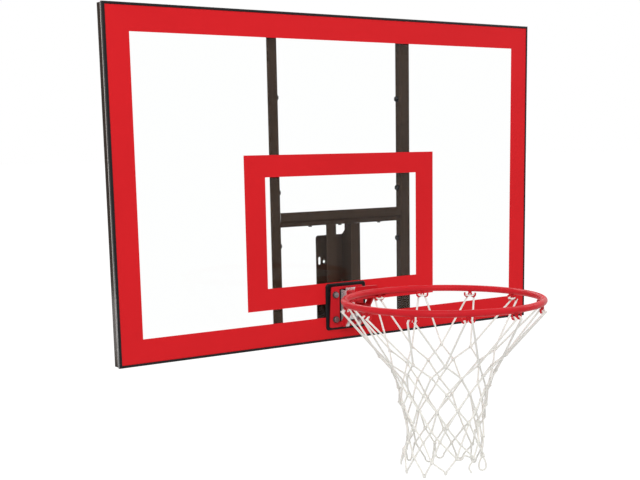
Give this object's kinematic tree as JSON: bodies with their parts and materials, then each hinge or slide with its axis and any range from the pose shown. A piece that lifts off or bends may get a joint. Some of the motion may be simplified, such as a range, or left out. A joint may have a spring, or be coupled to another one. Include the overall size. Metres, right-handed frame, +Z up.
{
  "type": "basketball backboard",
  "caption": "Framed clear backboard with a printed border and target square, a sprung breakaway rim on a hinged bracket, and a hanging cord net; a rear plate bolts it to a pole.",
  "frame": {"origin": "centre of the four pole bolt holes, on the back face of the pole plate", "axes": "+X to the right as a player sees the board, +Y out of the back towards the pole, +Z up"},
  "size_m": [1.321, 0.6931, 1.101],
  "materials": {
    "clear_sheet": "clear polycarbonate, glossy",
    "print_red": "screen-printed red ink, glossy",
    "edge_trim": "black extruded trim, satin",
    "frame_paint": "dark bronze powder coat, satin",
    "rim_paint": "red powder coat, semi-gloss",
    "black_paint": "black enamel, semi-gloss",
    "zinc": "bright zinc plate",
    "spring_steel": "spring wire in the rim's red powder coat",
    "nylon": "natural nylon",
    "net_cord": "white braided polyester cord"
  },
  "bodies": {
    "board": {"backboard_sheet": "clear_sheet", "border_print": "print_red", "target_print": "print_red", "edge_trim_bottom": "edge_trim", "edge_trim_left": "edge_trim", "edge_trim_right": "edge_trim", "edge_trim_top": "edge_trim", "frame_bottom_rail": "frame_paint", "frame_left_stile": "frame_paint", "frame_right_stile": "frame_paint", "frame_top_rail": "frame_paint", "corner_plates": "frame_paint", "upright_left": "frame_paint", "upright_right": "frame_paint", "crossbar": "frame_paint", "centre_angle_left": "frame_paint", "centre_angle_right": "frame_paint", "pole_plate": "frame_paint", "rim_mount_plate": "rim_paint", "hinge_pin": "rim_paint", "hinge_clip": "rim_paint", "spring_bolt": "rim_paint", "spring_washer": "rim_paint", "spring_nut": "rim_paint", "rim_backing_plate": "black_paint", "rim_spacer": "black_paint", "corner_screws": "black_paint", "upright_screws": "black_paint", "crossbar_screws": "black_paint", "arm_bolts": "black_paint", "arm_nuts": "black_paint", "strap_bolts": "black_paint", "strap_nuts": "black_paint", "hinge_bracket": "zinc", "rim_bolts": "zinc", "rim_washers": "zinc", "rim_nuts": "zinc", "breakaway_spring": "spring_steel", "hinge_spacers": "nylon"},
    "rim": {"ring": "rim_paint", "rim_bracket": "rim_paint", "pivot_arm_left": "rim_paint", "pivot_arm_right": "rim_paint", "net_hooks": "rim_paint"},
    "net": {"net": "net_cord"}
  },
  "joints": [
    {"name": "rim_breakaway", "type": "hinge", "parent": "board", "child": "rim", "pos_m": [0, -0.0795, -0.114], "axis": [1, 0, 0], "range_deg": [0, 25], "stiffness_Nm_per_rad": 250, "springref_deg": -19.48, "deforming": ["breakaway_spring"]},
    {"name": "net_swing", "type": "hinge", "parent": "rim", "child": "net", "pos_m": [0, -0.4485, -0.018], "axis": [1, 0, 0], "range_deg": [-30, 30], "deforming": ["net"]}
  ]
}
